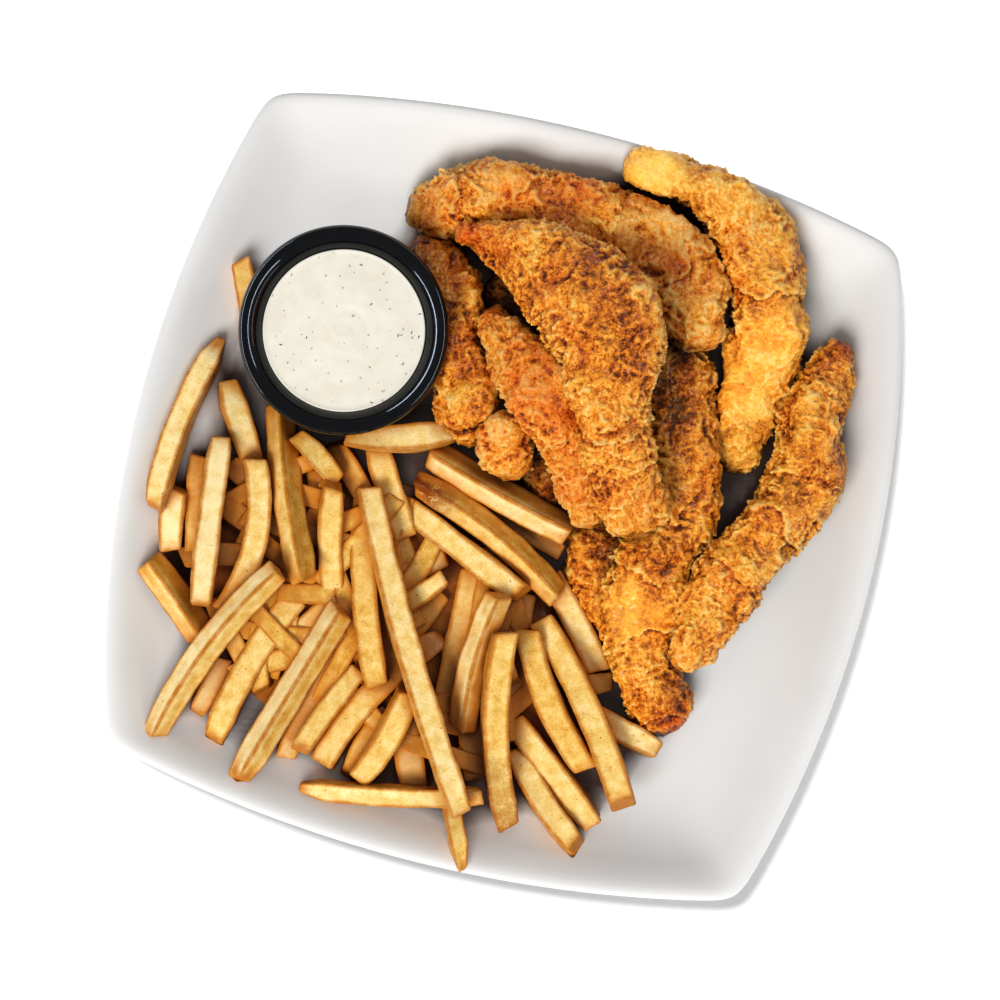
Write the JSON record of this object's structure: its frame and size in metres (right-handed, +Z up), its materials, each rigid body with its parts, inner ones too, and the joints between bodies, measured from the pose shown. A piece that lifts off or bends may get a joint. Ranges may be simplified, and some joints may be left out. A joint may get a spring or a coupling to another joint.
{
  "type": "plate of fish and chips",
  "caption": "Bowed square porcelain plate with a heap of straight-cut chips, battered fish strips and a round pot of creamy herb dip, served ready to eat.",
  "frame": {"origin": "under the middle of the plate, on the surface that it stands on", "axes": "+Z up; +X to the right and +Y away from the diner, square to the plate's sides, with the chips at the front left and the pot at the back left"},
  "size_m": [0.284, 0.2832, 0.0664],
  "materials": {
    "glazed_porcelain": "white glossy glaze",
    "black_melamine": "black, moulded, glossy",
    "herb_dip": "creamy, wet, with fine green herbs",
    "fried_potato": "fried, pale yellow with golden edges and browned ends",
    "fried_batter": "craggy golden-brown crust with darker creases"
  },
  "bodies": {
    "root": {"plate": "glazed_porcelain", "pot": "black_melamine", "dip": "herb_dip", "chips": "fried_potato", "chip_by_pot": "fried_potato", "strip_buried_back": "fried_batter", "strip_buried_middle": "fried_batter", "strip_buried_front": "fried_batter", "strip_crescent": "fried_batter", "strip_front": "fried_batter", "strip_right": "fried_batter", "strip_by_pot": "fried_batter", "strip_small": "fried_batter", "strip_back": "fried_batter", "strip_inner": "fried_batter", "strip_largest": "fried_batter"}
  },
  "joints": []
}
